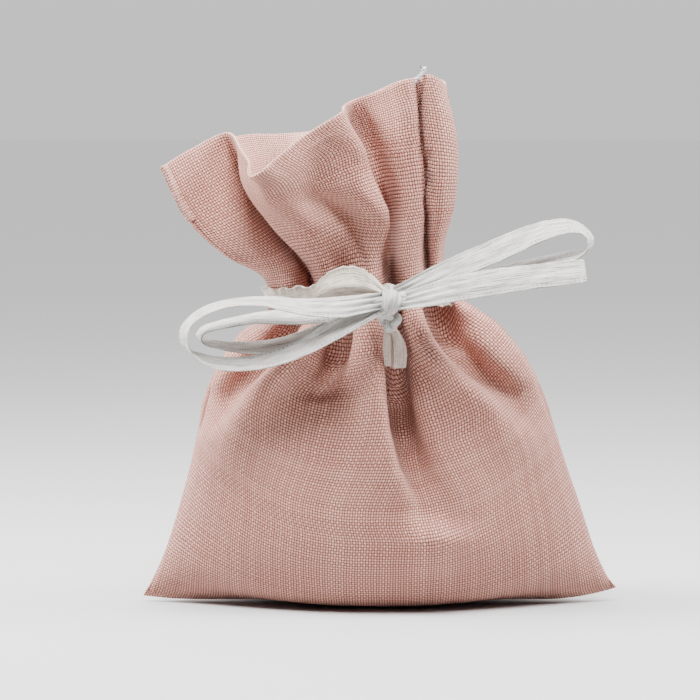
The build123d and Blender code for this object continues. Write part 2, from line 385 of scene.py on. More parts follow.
def vertex_grid(side):
    """Indices of a panel's cloth vertices; the side seams and the bottom seam are shared."""
    loop = 2 * COLUMNS
    rows, columns = np.mgrid[0:ROWS + 1, 0:COLUMNS + 1]
    around = columns if side < 0 else (loop - columns) % loop
    return np.where(rows == 0, columns, COLUMNS + 1 + (rows - 1) * loop + around)


def grid_faces(grid, flipped):
    """Faces between the rows and columns of a grid of vertex indices."""
    faces = np.stack([grid[:-1, :-1], grid[:-1, 1:], grid[1:, 1:], grid[1:, :-1]], axis=2)
    return (faces[:, :, ::-1] if flipped else faces).reshape(-1, 4).tolist()


def pin_weights(neck_t):
    """How firmly each place of a panel keeps to its start."""
    above = T_VALUES[:, None] - neck_t[None, :]
    weights = np.where(above > 0, GOAL_FRILL, GOAL_POUCH)
    weights[-1] = GOAL_MOUTH
    weights[np.abs(above) <= NECK_HALF_BAND] = GOAL_NECK
    return weights


def build_cloth():
    """Cloth of both panels as one mesh, with a flat rest shape and a gathered start."""
    total = COLUMNS + 1 + ROWS * 2 * COLUMNS
    start = np.zeros((total, 3))
    flat = np.zeros((total, 3))
    pin = np.zeros(total)
    for side in (1, -1):
        grid = vertex_grid(side)
        start[grid], neck_t = panel_shape(side)
        flat[grid, 0] = S_VALUES
        flat[grid, 1] = side * FLAT_HALF_GAP
        flat[grid, 2] = T_VALUES[:, None]
        pin[grid] = pin_weights(neck_t)
    mesh = bpy.data.meshes.new("sack_cloth")
    faces = grid_faces(vertex_grid(-1), False) + grid_faces(vertex_grid(1), True)
    mesh.from_pydata((start * SIM).tolist(), [], faces)
    mesh.validate()
    mesh.update()
    return link("sack_cloth", mesh), flat, pin


def relax(obj, flat, pin):
    """Cloth simulation from the gathered start towards the cloth's real cut size."""
    obj.shape_key_add(name="Basis")
    rest = obj.shape_key_add(name="flat")
    rest.data.foreach_set("co", (flat * SIM).ravel())
    rest.value = 0.0
    group = obj.vertex_groups.new(name="pin")
    for index, weight in enumerate(pin):
        group.add([index], float(weight), "REPLACE")
    cloth = obj.modifiers.new("cloth", "CLOTH")
    settings = cloth.settings
    settings.quality = 10
    settings.mass = 0.15
    settings.tension_stiffness = 25
    settings.compression_stiffness = 25
    settings.shear_stiffness = 8
    settings.bending_stiffness = 0.8
    settings.tension_damping = 10
    settings.compression_damping = 10
    settings.shear_damping = 8
    settings.vertex_group_mass = "pin"
    settings.pin_stiffness = 2.0
    settings.rest_shape_key = rest
    settings.effector_weights.gravity = 0.2
    collision = cloth.collision_settings
    collision.use_collision = False
    collision.use_self_collision = True
    collision.self_distance_min = 0.004
    collision.self_friction = 2.0
    scene = bpy.context.scene
    scene.frame_start = 1
    scene.frame_end = FRAMES
    cloth.point_cache.frame_start = 1
    cloth.point_cache.frame_end = FRAMES
    for step in range(1, FRAMES + 1):
        scene.frame_set(step)
    graph = bpy.context.evaluated_depsgraph_get()
    shaped = bpy.data.meshes.new_from_object(obj.evaluated_get(graph))
    places = mesh_places(shaped)
    bpy.data.meshes.remove(shaped)
    scene.frame_set(1)
    return places


def relaxed_cloth():
    """Places of every cloth vertex after the simulation, in metres."""
    obj, flat, pin = build_cloth()
    places = relax(obj, flat, pin)
    bpy.data.objects.remove(obj)
    return places * MM / SIM


# ---------------------------------------------------------------- sack pieces


def grid_object(name, points, uvs, flipped=False):
    """Smooth cloth piece from a grid of points (rows, columns, xyz) in metres, with its flat UVs."""
    rows, columns = points.shape[:2]
    faces = grid_faces(np.arange(rows * columns).reshape(rows, columns), flipped)
    mesh = bpy.data.meshes.new(name)
    mesh.from_pydata(points.reshape(-1, 3).tolist(), [], faces)
    layer = mesh.uv_layers.new(name="cloth")
    flat_uvs = uvs.reshape(-1, 2)
    for loop in mesh.loops:
        layer.data[loop.index].uv = flat_uvs[loop.vertex_index]
    mesh.shade_smooth()
    return link(name, mesh)


def subdivide(obj):
    """One level of smoothing."""
    smooth = obj.modifiers.new("smooth", "SUBSURF")
    smooth.levels = 1
    smooth.render_levels = 1


def thin_piece(name, points, flat, thickness, material, offset=0.0, flipped=False):
    """Smoothed grid piece with its thickness in millimetres and its material."""
    piece = grid_object(name, points, flat, flipped)
    subdivide(piece)
    solid = piece.modifiers.new("thickness", "SOLIDIFY")
    solid.thickness = thickness * MM
    solid.offset = offset
    piece.data.materials.append(material)
    return piece


CLOTH_THICKNESS = 0.4
HEM_DEPTH = 15.0
HEM_GAP = 0.1
HEM_THICKNESS = 0.3
FOLD_STEPS = 6
FOLD_STEP_LENGTH = 0.3
FOLD_CLEARANCE = 0.01
SEAM_ALLOWANCE = 6.0
SEAM_THICKNESS = 0.6
SEAM_LIFT = 0.6
SEAM_RISE = 0.8

# The pieces are made on a finer grid than the simulation's
FINER = 2
FINE_COLUMNS = COLUMNS * FINER
FINE_ROWS = ROWS * FINER
FINE_CELL = CELL / FINER
FINE_S = np.linspace(0.0, FLAT_WIDTH, FINE_COLUMNS + 1)
FINE_T = np.linspace(0.0, FLAT_LENGTH, FINE_ROWS + 1)
SEAM_REACH = max(2, round(SEAM_ALLOWANCE / FINE_CELL))

# Pointed crests of the frill, in the cloth's flat place: t, s, height
FRILL_CRESTS = {
    "left_point": [(98, 36.5, 0), (104, 38, 0.6), (117, 40.6, 1.7), (130, 41, 2.6)],
    "middle_point": [(98, 55, 0), (104, 56, 0.9), (117, 59.5, 1.6), (130, 62, 0.7)],
    "lobe_valley": [
        (91, 46, 0), (96, 46.5, -5), (104, 48.5, -6.5), (114, 51, -3.8),
        (126, 54, 0),
    ],
}
CREST_HALF_WIDTH = 4.5
CREST_SHARPNESS = 1.3
VALLEY_HALF_WIDTH = 9.0

# Share of the folds that is pressed in again after the simulation, narrower, to sharpen their edges
LATE_SHARE = 0.45
LATE_NARROWING = 0.7


def add_crests(shape):
    """Sharpen the crests of the frill and hollow its valley, along the front panel's normals."""
    normals = grid_normals(shape, 1.0)
    for crest in FRILL_CRESTS.values():
        t_knots, s_knots, heights = np.array(crest).T
        middle = np.interp(FINE_T, t_knots, s_knots)[:, None]
        height = np.interp(FINE_T, t_knots, heights)[:, None]
        away = np.abs(FINE_S[None, :] - middle)
        peak = np.clip(1.0 - away / CREST_HALF_WIDTH, 0.0, 1.0) ** CREST_SHARPNESS
        hollow = np.exp(-((away / VALLEY_HALF_WIDTH * 2.0) ** 2))
        shape += normals * (height * np.where(height > 0, peak, hollow))[:, :, None]


def panel_points(side, cloth):
    """Relaxed places of one panel on a finer grid, in metres, with the folds' edges sharpened."""
    points = cloth[vertex_grid(side)]
    columns = [hermite(T_VALUES, points[:, column], FINE_T) for column in range(COLUMNS + 1)]
    fine = np.stack([hermite(S_VALUES, row, FINE_S) for row in np.stack(columns, axis=1)]) / MM
    if side < 0:
        add_crests(fine)
        add_folds(fine, LATE_SHARE, LATE_NARROWING)
        respace(fine)
    return fine * MM


def panel_flat(side, t):
    """Flat places at rows t of a panel; the back panel is set apart from the front."""
    return flat_places(FINE_S + (0.0 if side < 0 else 2 * FLAT_WIDTH), t)


def make_panel(name, side, cloth, node):
    """One panel of the sack; returns the places of its grid."""
    points = panel_points(side, cloth)
    flat = panel_flat(side, FINE_T)
    panel = thin_piece(name, points, flat, CLOTH_THICKNESS, SACK_CLOTH, offset=-1.0, flipped=side > 0)
    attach(panel, "sack")
    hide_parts(node)
    return points


def make_hem(name, side, points, node):
    """Inner layer of the turned hem, with the rounded fold along the mouth."""
    first = int(np.searchsorted(FINE_T, FLAT_LENGTH - HEM_DEPTH))
    normals = grid_normals(points, -1.0 if side > 0 else 1.0)
    depth = (CLOTH_THICKNESS + HEM_GAP + HEM_THICKNESS) * MM
    inner = points[first:] - normals[first:] * depth
    radius = depth / 2 + FOLD_CLEARANCE * MM
    middle = points[-1] - normals[-1] * depth / 2
    upward = unit(points[-1] - points[-2])
    fold = []
    for step in range(FOLD_STEPS):
        angle = math.pi * step / (FOLD_STEPS - 1)
        ring = middle - normals[-1] * math.cos(angle) * radius
        fold.append(ring + upward * math.sin(angle) * radius)
    rows = np.concatenate([inner[:-1], np.stack(fold)])
    t = np.concatenate([FINE_T[first:-1], FLAT_LENGTH + np.arange(FOLD_STEPS) * FOLD_STEP_LENGTH])
    flat = panel_flat(side, t)
    # The hem layer takes the lighter copy of the cloth: painted light
    hem = thin_piece(name, rows, flat, HEM_THICKNESS, LIT_HEM_CLOTH, offset=-1.0, flipped=side < 0)
    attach(hem, "sack")
    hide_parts(node)


def make_side_seam(name, column, front, back, node):
    """Seam allowance: a narrow strip folded inside along a side seam."""
    inward = 1 if column == 0 else -1
    inner_column = column + inward * SEAM_REACH
    near_column = column + inward
    last = FINE_ROWS - 1
    start = (front[1:last, near_column] + back[1:last, near_column]) / 2
    end = (front[1:last, inner_column] + back[1:last, inner_column]) / 2
    points = np.stack([start, start * 0.67 + end * 0.33, start * 0.33 + end * 0.67, end], axis=1)
    flat = flat_places(np.linspace(0.0, SEAM_ALLOWANCE, 4), FINE_T[1:last])
    strip = thin_piece(name, points, flat, SEAM_THICKNESS, SACK_CLOTH)
    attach(strip, "sack")
    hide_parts(node)


def make_bottom_seam(front, back):
    """Seam allowance inside, along the bottom edge."""
    columns = slice(2, FINE_COLUMNS - 1)
    start = front[0, columns] + (0.0, 0.0, SEAM_LIFT * MM)
    end = (front[SEAM_REACH, columns] + back[SEAM_REACH, columns]) / 2
    end[:, 2] = np.maximum(end[:, 2], start[:, 2] + SEAM_RISE * MM)
    points = np.stack([start, start * 0.5 + end * 0.5, end])
    flat = flat_places(FINE_S[columns], np.linspace(0.0, SEAM_ALLOWANCE, 3))
    strip = thin_piece("bottom_seam_allowance", points, flat, SEAM_THICKNESS, SACK_CLOTH)
    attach(strip, "sack")
    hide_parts("bottom_seam")


# ---------------------------------------------------------------- ribbon pieces

RIBBON_WIDTH = 6.0
RIBBON_THICKNESS = 0.22
TIE_THICKNESS = 0.25
# Points across a ribbon, and its small shapes: the curl of its edges, its slow waves, the
# gathers that run out of a knot, and the uneven line of its edge
ACROSS = 17
CURL = 0.18
WAVE = 0.28
WAVE_LENGTH = 9.0
GATHER = 0.7
GATHER_LENGTH = 7.0
GATHER_TURNS = 3.5
SCALLOP = 0.22
SCALLOP_LENGTH = 0.9


def ribbon_line(route):
    """Points read along the smooth spline through a route of x, y, z in millimetres."""
    curve = bpy.data.curves.new("route", "CURVE")
    curve.dimensions = "3D"
    curve.resolution_u = 10
    spline = curve.splines.new("NURBS")
    spline.points.add(len(route) - 1)
    for point, place in zip(spline.points, route):
        point.co = (*(value * MM for value in place), 1.0)
    spline.order_u = 3
    spline.use_endpoint_u = True
    holder = link("route", curve)
    mesh = bpy.data.meshes.new_from_object(holder)
    line = mesh_places(mesh)
    bpy.data.objects.remove(holder)
    bpy.data.curves.remove(curve)
    bpy.data.meshes.remove(mesh)
    return line


def noise_along(values, x, z):
    """Smooth noise at each value, on the line through x and z."""
    return np.array([noise.noise(Vector((x, value, z))) for value in values])


def ribbon_strip(name, line, widths, leans, crease=0.0, crease_at=0.0, pinches=(1.0, 1.0), seed=0.0):
    """Flat ribbon along a line. widths and leans (x, z with y = 1) are spread along its length;
    crease is the depth of a lengthwise fold at crease_at, and pinches gather the two ends."""
    count = len(line)
    run = run_along(line)
    spots = np.clip((np.arange(len(widths)) - 0.5) / (len(widths) - 2), 0.0, 1.0)
    parameter = np.linspace(0.0, 1.0, count)
    width = np.interp(parameter, spots, widths)
    lean_x = np.interp(parameter, spots, [lean[0] for lean in leans])
    lean_z = np.interp(parameter, spots, [lean[1] for lean in leans])
    tangent = unit(np.gradient(line, axis=0))
    across = np.stack([lean_x, np.ones(count), lean_z], axis=1)
    across = unit(across - tangent * np.sum(across * tangent, axis=1, keepdims=True))
    face = np.cross(tangent, across)
    reach = GATHER_LENGTH * MM
    gather = pinches[0] * np.exp(-run / reach) + pinches[1] * np.exp(-(run[-1] - run) / reach)
    v = np.linspace(-1.0, 1.0, ACROSS)
    points = np.empty((count, ACROSS, 3))
    for column, place in enumerate(v):
        wave = noise_along(run / MM / WAVE_LENGTH, seed + place * 1.3, seed)
        lift = CURL * place**2 + WAVE * wave - crease * abs(place - crease_at)
        lift = lift + gather * GATHER * math.cos(GATHER_TURNS * math.pi * place + seed)
        scallop = noise_along(run / MM / SCALLOP_LENGTH, seed * 3, place * 2)
        offset = (width / 2 + SCALLOP * scallop * abs(place) ** 3) * place
        points[:, column] = line + across * (offset * MM)[:, None] + face * (lift * MM)[:, None]
    flat = flat_places((v + 1) * RIBBON_WIDTH / 2, run / MM)
    return thin_piece(name, points, flat, RIBBON_THICKNESS, RIBBON), run[-1]


def make_cord_ribbon(name, body, route, far_end, **shape):
    """One loop or tail of the bow, a flat cord 6 mm wide."""
    line = ribbon_line([spot[:3] for spot in route])
    widths = [spot[5] for spot in route]
    leans = [(spot[3], spot[4]) for spot in route]
    ribbon, length = ribbon_strip(name, line, widths, leans, **shape)
    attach(ribbon, body)
    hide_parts(body)


# The outer left loop and the tail lie in front of the inner left loop and the right loop
FRONT_Y = -23.2
BACK_Y = -18.3

# Routes: x, y, z, lean of the width (x and z for y = 1), visible width
OUTER_LEFT = [
    (0.8, -20.5, 71.6, 0, 1.2, 4.6), (-2, -22, 71.5, 0, 1.3, 5),
    (-8.5, FRONT_Y, 70.2, 0, 1.3, 5.8), (-17, FRONT_Y, 70.3, 0, 0.65, 6),
    (-26.5, FRONT_Y, 71.9, 0, 0.30, 6), (-34.5, FRONT_Y, 71.4, 0, 0.22, 6),
    (-40.6, FRONT_Y, 69.2, -0.2, 0.2, 6), (-44.2, FRONT_Y, 65.8, -0.4, 0.05, 6),
    (-44.5, FRONT_Y, 61.9, -0.4, -0.05, 6), (-40.8, FRONT_Y, 58.8, -0.1, 0.3, 6),
    (-36, FRONT_Y, 57.2, 0, 0.45, 6), (-27, FRONT_Y, 57.5, 0, 0.54, 6),
    (-17.5, FRONT_Y, 61, 0, 0.72, 6), (-9, FRONT_Y, 65.8, 0, 1.1, 5.8),
    (-2.2, -21.8, 69.2, 0, 0.9, 4.4), (0.8, -20.2, 70.6, 0, 0.8, 3.8),
]
INNER_LEFT = [
    (0.9, -17.6, 71, 0, 1, 4.2), (-2.1, BACK_Y, 70.9, 0, 0.9, 4.8),
    (-9, BACK_Y, 68.9, 0, 0.8, 5.6), (-18, BACK_Y, 67.9, 0, 0.70, 6),
    (-26, BACK_Y, 67.9, 0, 0.45, 6), (-32.4, BACK_Y, 66.9, 0, 0.32, 6),
    (-37, BACK_Y, 65.9, 0, 0.25, 6), (-40.2, BACK_Y, 64.9, -0.15, 0.2, 6),
    (-41.2, BACK_Y, 63.3, -0.3, 0, 6), (-40.2, BACK_Y, 62, -0.15, 0.15, 6),
    (-37.4, BACK_Y, 61.4, 0, 0.26, 6), (-33.4, BACK_Y, 60.7, 0, 0.34, 6),
    (-27, BACK_Y, 60.4, 0, 0.48, 6), (-18.5, BACK_Y, 62.2, 0, 0.6, 6),
    (-10, BACK_Y, 66, 0, 0.8, 5.4), (-2.3, BACK_Y, 69.6, 0, 0.8, 4.6),
    (0.9, -17.6, 70.6, 0, 0.8, 4),
]
RIGHT_LOOP = [
    (3, -17.6, 72.6, 0, 0.9, 4), (5.9, BACK_Y, 73.6, 0, 1.1, 4.8),
    (11.3, BACK_Y, 76.1, 0, 1.3, 5.8), (17.5, BACK_Y, 79.1, 0, 1.35, 6),
    (25.8, BACK_Y, 82.4, 0, 1.45, 6), (33, BACK_Y, 85.8, 0, 1.2, 6),
    (38.5, BACK_Y, 87.7, 0, 0.75, 6), (42.6, BACK_Y, 88.3, 0, 0.5, 6),
    (45.6, BACK_Y, 87.2, 0.15, 0.25, 6), (47.3, BACK_Y, 85.2, 0.3, 0, 6),
    (46.8, BACK_Y, 82.9, 0.25, 0.1, 6), (42.8, BACK_Y, 81.5, 0, 0.4, 6),
    (36.5, BACK_Y, 79.8, 0, 0.6, 6), (30, BACK_Y, 78.2, 0, 0.7, 6),
    (24, BACK_Y, 76.6, 0, 0.8, 6), (17.5, BACK_Y, 74.8, 0, 0.8, 6),
    (11.3, BACK_Y, 72.9, 0, 0.8, 5.6), (5.9, BACK_Y, 71.6, 0, 0.7, 4.8),
    (3, -17.6, 71.4, 0, 0.7, 4),
]
RIGHT_TAIL = [
    (2.6, -20.5, 71.2, 0, 1.2, 4.4), (5.6, -22, 71.8, 0, 1.3, 5),
    (11, FRONT_Y, 73.1, 0, 1.7, 6), (17.5, FRONT_Y, 74.7, 0, 2.2, 6.3),
    (24, FRONT_Y, 75.8, 0, 2.4, 6.3), (31, FRONT_Y, 76.8, 0, 2, 6.2),
    (37.5, FRONT_Y, 77.7, 0, 1.7, 6), (45.8, FRONT_Y, 78.6, 0, 1.5, 6),
]


def make_ribbons():
    make_cord_ribbon("outer_left_ribbon", "outer_left_loop", OUTER_LEFT, "object", seed=1.7)
    make_cord_ribbon("inner_left_ribbon", "inner_left_loop", INNER_LEFT, "object", seed=4.1)
    make_cord_ribbon("right_loop_ribbon", "right_loop", RIGHT_LOOP, "object", seed=7.3)
    make_cord_ribbon(
        "right_tail_ribbon", "right_tail", RIGHT_TAIL, "bare", crease=0.55, crease_at=-0.25,
        pinches=(1.0, 0.0), seed=9.9,
    )


def tube(line, radius, sides, flatten=1.0, ridges=0, ridge_depth=0.0):
    """Points of a tube around a line: rows along it, columns around it. radius is one number per row."""
    tangent = unit(np.gradient(line, axis=0))
    side = np.cross(tangent[0], (0.0, 1.0, 0.3))
    angles = np.linspace(0.0, 2 * math.pi, sides + 1)
    rows = []
    for index, place in enumerate(line):
        side = unit(side - tangent[index] * np.dot(side, tangent[index]))
        other = np.cross(tangent[index], side)
        reach = radius[index] * (1 + ridge_depth * np.cos(ridges * angles))
        ring = np.outer(np.cos(angles) * reach, side) + np.outer(np.sin(angles) * reach * flatten, other)
        rows.append(place + ring)
    return np.array(rows)


# Length of flat ribbon in one row of a tube, for the weave
TUBE_ROW = 0.5


def tube_object(name, points):
    """Closed-round piece from the points of a tube, with the ribbon's material."""
    rows, columns = points.shape[:2]
    flat = flat_places(np.linspace(0.0, RIBBON_WIDTH, columns), np.arange(rows) * TUBE_ROW)
    obj = grid_object(name, points * MM, flat, flipped=True)
    merge = bmesh.new()
    merge.from_mesh(obj.data)
    bmesh.ops.remove_doubles(merge, verts=merge.verts, dist=0.00001)
    bmesh.ops.recalc_face_normals(merge, faces=merge.faces)
    merge.to_mesh(obj.data)
    merge.free()
    subdivide(obj)
    obj.data.materials.append(RIBBON)
    return obj


def join(name, objects):
    """Join pieces of the same material into one object."""
    for obj in objects:
        for modifier in list(obj.modifiers):
            obj.modifiers.remove(modifier)
    with bpy.context.temp_override(active_object=objects[0], selected_editable_objects=objects):
        bpy.ops.object.join()
    objects[0].name = name
    objects[0].data.name = name
    subdivide(objects[0])
    return objects[0]


KNOT_CENTRE = np.array((1.9, -20.2, 71.1))
THROAT_REACH = (4.4, 0.0, 0.9)
THROAT_RIDGES = 9
STEM_START = (0.0, 1.0, 0.0)
STEM_REACH = (0.0, 8.2, 2.0)
STEM_RADIUS = 1.6
STEM_ROWS = 7
WRAP_LEAN = 12.0
WRAP_RADIUS = 2.4
WRAP_ROWS = 25
WRAP_COLUMNS = 49


def make_bow_knot():
    """The bow's knot: a creased throat that the ribbons run into, and a band wrapped around it."""
    steps = np.linspace(-1.0, 1.0, 15)
    throat_line = KNOT_CENTRE + np.outer(steps, THROAT_REACH)
    throat_radius = (1.6 + 0.7 * steps**2) * np.sqrt(1.0 - 0.98 * steps**8)
    throat = tube(throat_line, throat_radius, 48, flatten=0.95, ridges=THROAT_RIDGES, ridge_depth=0.08)
    lean = math.radians(WRAP_LEAN)
    along = np.array((math.cos(lean), 0.0, -math.sin(lean)))
    upward = np.array((math.sin(lean), 0.0, math.cos(lean)))
    forward = np.array((0.0, -1.0, 0.0))
    angles = np.linspace(0.0, 2 * math.pi, WRAP_COLUMNS)
    rows = []
    for v in np.linspace(-1.0, 1.0, WRAP_ROWS):
        crease = 0.16 * np.cos(6.5 * math.pi * v + 0.9 * np.sin(angles))
        crease += 0.1 * np.cos(11 * math.pi * v - angles)
        reach = 1.8 + 1.15 * math.sqrt(1.0 - 0.92 * v * v) + crease
        slide = v * (1.95 + 0.35 * np.cos(angles - 0.6)) + 0.5 * np.sin(angles)
        rows.append(
            KNOT_CENTRE + np.outer(slide, along) + np.outer(np.cos(angles) * reach, upward)
            + np.outer(np.sin(angles) * reach * 1.05, forward)
        )
    flat = flat_places(angles * WRAP_RADIUS, np.linspace(0.0, RIBBON_WIDTH, WRAP_ROWS))[:, :, ::-1]
    wrap = thin_piece("knot_wrap", np.array(rows) * MM, flat, TIE_THICKNESS, RIBBON)
    stem_line = KNOT_CENTRE + np.outer(np.linspace(0.0, 1.0, STEM_ROWS), STEM_REACH) + STEM_START
    stem = tube(stem_line, np.full(STEM_ROWS, STEM_RADIUS), 20, ridges=5, ridge_depth=0.08)
    inner = [tube_object("knot_throat", throat), tube_object("knot_stem", stem)]
    knot = join("bow_knot_wrap", [wrap, *inner])
    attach(knot, "sack")
    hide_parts("bow_knot")


NECK_KNOT_CENTRE = (2.1, -17.4, 66.7)
NECK_KNOT_SIZE = (0.66, 0.85, 0.62)
NECK_KNOT_STRAND = 0.98


def make_neck_knot():
    """Small overhand knot of the tie, under the bow."""
    turn = np.linspace(0.0, 2 * math.pi, 73)
    trefoil = np.stack([
        np.sin(turn) + 2 * np.sin(2 * turn),
        -1.3 * np.sin(3 * turn),
        np.cos(turn) - 2 * np.cos(2 * turn),
    ], axis=1)
    line = NECK_KNOT_CENTRE + trefoil * NECK_KNOT_SIZE
    radius = np.full(len(line), NECK_KNOT_STRAND)
    turns = tube(line, radius, 16, flatten=0.85, ridges=5, ridge_depth=0.07)
    knot = tube_object("neck_knot_turns", turns)
    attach(knot, "sack")
    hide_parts("neck_knot")


TAIL_WIDTH = 3.0
TAIL_LENGTH = 10.0
TAIL_ACROSS = 9
# Routes of the tie's two ends: x, y, z, turn of the width (y for x = 1), visible width
NECK_TAILS = {
    "neck_tail_left": [
        (1.5, -16.2, 65.4, 0.4, 1.4), (1.5, -16.8, 63.8, 0.3, 1.9), (1.7, -17.3, 61, 0.3, 2.2),
        (1.9, -17.2, 58.6, 0.5, 2.3), (2, -16.9, 56.4, 0.7, 2.1),
    ],
    "neck_tail_right": [
        (2.4, -16, 65.6, -0.2, 1.5), (3.4, -16.6, 64, 0.1, 2.2), (4.3, -17, 61.4, 0.35, 2.7),
        (4.6, -16.9, 58.6, 0.5, 2.9), (4.3, -16.5, 55.9, 0.6, 2.8),
    ],
}


def make_neck_tails():
    """Two short cut ends below the small knot."""
    for node, route in NECK_TAILS.items():
        line = ribbon_line([spot[:3] for spot in route])
        count = len(line)
        parameter = np.linspace(0.0, 1.0, count)
        spots = np.linspace(0.0, 1.0, len(route))
        width = np.interp(parameter, spots, [spot[4] for spot in route])
        turn_y = np.interp(parameter, spots, [spot[3] for spot in route])
        v = np.linspace(-1.0, 1.0, TAIL_ACROSS)
        points = np.empty((count, TAIL_ACROSS, 3))
        for column, place in enumerate(v):
            points[:, column] = line
            points[:, column, 0] += place * width / 2 * MM
            curl = 0.5 * place**2 + 0.12 * math.cos(9 * place)
            points[:, column, 1] += (place * turn_y * width / 2 + curl) * MM
        flat = flat_places((v + 1) * TAIL_WIDTH / 2, np.linspace(0.0, TAIL_LENGTH, count))
        tail = thin_piece(node + "_end", points, flat, RIBBON_THICKNESS, TAIL_RIBBON)
        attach(tail, node)
        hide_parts(node)


# The neck tie: points around it, its distance from the cloth, half its width, how far it lies below
# the middle of the neck, its slopes on the whole and at the right, and its ruffles around the neck
BAND_POINTS = 420
BAND_CLEARANCE = 0.65
BAND_HALF_WIDTH = 2.2
BAND_DROP = 1.8
BAND_SLOPE = 0.04
BAND_RIGHT_SLOPE = 0.16
RUFFLES = 52


def neck_outline(front, back):
    """Line pulled tight around the gathered neck, in the neck's plane, its directions and its run."""
    tilt = math.radians(NECK_TILT)
    in_neck = np.abs(FINE_T[:, None] - neck_middle(FINE_S)[None, :]) < NECK_HALF_BAND
    cloth = np.concatenate([front[in_neck], back[in_neck]]) / MM
    x = (cloth[:, 0] - NECK_CENTRE[0]) * math.cos(tilt) + (cloth[:, 2] - NECK_CENTRE[1]) * math.sin(tilt)
    angle = np.linspace(0.0, 2 * math.pi, 1441)
    reach = np.max(np.outer(np.cos(angle), x) + np.outer(np.sin(angle), cloth[:, 1]), axis=1)
    reach += BAND_CLEARANCE
    turn = np.gradient(np.concatenate([reach[-2:-1], reach, reach[1:2]]), angle[1] - angle[0])[1:-1]
    outline = np.stack([
        reach * np.cos(angle) - turn * np.sin(angle), reach * np.sin(angle) + turn * np.cos(angle),
    ], axis=1)
    run = run_along(outline)
    spots = np.linspace(0.0, run[-1], BAND_POINTS + 1)
    places = np.stack([np.interp(spots, run, line) for line in outline.T], axis=1)
    return places, np.interp(spots, run, angle), spots


def make_neck_band(front, back):
    """Ruffled tie around the neck."""
    outline, angle, run = neck_outline(front, back)
    tilt = math.radians(NECK_TILT)
    jitter = np.array([noise.noise(Vector((math.cos(a) * 3, math.sin(a) * 3, 5.0))) for a in angle])
    phase = run / run[-1] * 2 * math.pi
    rows = []
    for v in np.linspace(-1.0, 1.0, 9):
        edge = abs(v) ** 3
        reach = np.sin(RUFFLES * phase + 4 * jitter) * (0.08 + 0.36 * edge) + 0.3 * edge
        x = outline[:, 0] + reach * np.cos(angle)
        y = outline[:, 1] + reach * np.sin(angle)
        half = BAND_HALF_WIDTH + 0.3 * np.sin(RUFFLES / 2 * phase + 3 * jitter)
        fall = BAND_DROP + BAND_SLOPE * x + BAND_RIGHT_SLOPE * np.maximum(x, 0.0)
        height = v * half + 0.3 * jitter - fall
        rows.append(np.stack([
            NECK_CENTRE[0] + x * math.cos(tilt) - height * math.sin(tilt),
            y,
            NECK_CENTRE[1] + x * math.sin(tilt) + height * math.cos(tilt),
        ], axis=1))
    points = np.array(rows) * MM
    flat = flat_places(run, np.linspace(0.0, RIBBON_WIDTH, len(rows)))[:, :, ::-1]
    band = thin_piece("neck_band_ruffle", points, flat, TIE_THICKNESS, NECK_RIBBON)
    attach(band, "sack")
    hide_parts("neck_band")


LOBE_ROWS = 15
LOBE_COLUMNS = 61
LOBE_LENGTH = 22.0
LOBE_BULGE = 1.1
# Inner edge of the bulge, hidden behind the bow: its left end and its run to the right
LOBE_START = (-14.2, -13.0, 71.2)
LOBE_RUN = (15.0, -2.0, 0.6)
# Outer edge of the ribbon's bulge behind the bow: x, z
BULGE_EDGE = [
    (-15.4, 72.4), (-14.4, 75), (-12.6, 76.8), (-10.2, 78.3), (-7.6, 78.9), (-5.2, 78.7),
    (-3.2, 77.8), (-1, 76), (1.2, 73.6),
]


def make_lobe():
    """Rounded bulge of the ribbon that stands up behind the bow; its threads follow its edge."""
    along = np.linspace(0.0, 1.0, LOBE_COLUMNS)
    edge = hermite(np.linspace(0.0, 1.0, len(BULGE_EDGE)), BULGE_EDGE, along)
    ripple = 0.16 * np.sin(along * 46) + 0.1 * np.sin(along * 71)
    outer = np.stack([edge[:, 0], -13.2 - 0.8 * along + ripple, edge[:, 1] + 0.6 * ripple], axis=1)
    inner = LOBE_START + np.outer(along, LOBE_RUN)
    rows = []
    for v in np.linspace(0.0, 1.0, LOBE_ROWS):
        row = inner * (1 - v) + outer * v
        row[:, 1] -= LOBE_BULGE * math.sin(math.pi * min(v * 1.25, 1.0)) * np.sin(along * math.pi) ** 0.7
        row[:, 1] -= 0.25 * math.cos(v * 16) * along
        rows.append(row)
    points = np.array(rows).transpose(1, 0, 2) * MM
    flat = flat_places(np.linspace(0.0, RIBBON_WIDTH, LOBE_ROWS), along * LOBE_LENGTH)
    lobe = thin_piece("neck_band_bulge", points, flat, TIE_THICKNESS, NECK_RIBBON)
    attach(lobe, "sack")
    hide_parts("neck_band_lobe")


THREAD_RADIUS = 0.3
THREAD_TURNS = 4.5
THREAD_ROUTE = [
    (8, -5.2, 111), (7.6, -5.6, 115), (7.4, -6, 118.6), (7.8, -6.2, 120.6),
    (9.2, -6.4, 121.9), (10.1, -6.4, 123), (9.7, -6.3, 123.7),
]


def make_thread():
    """Loose end of the sewing thread at the mouth: two strands twisted together."""
    line = ribbon_line(THREAD_ROUTE) / MM
    count = len(line)
    turns = np.linspace(0.0, THREAD_TURNS * 2 * math.pi, count)
    spread = np.interp(np.linspace(0, 1, count), [0.0, 0.85, 1.0], [0.27, 0.27, 0.5])
    strands = []
    for phase in (0.0, math.pi):
        turn = turns + phase
        offset = np.stack([np.cos(turn), np.sin(turn), 0.3 * np.sin(turn)], axis=1)
        strand = tube(line + offset * spread[:, None], np.full(count, THREAD_RADIUS), 10)
        strands.append(tube_object("strand", strand))
    thread = join("thread_stub", strands)
    thread.data.materials.clear()
    thread.data.materials.append(THREAD)
    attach(thread, "sack")
    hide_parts("hem_thread_end")


# ---------------------------------------------------------------- materials


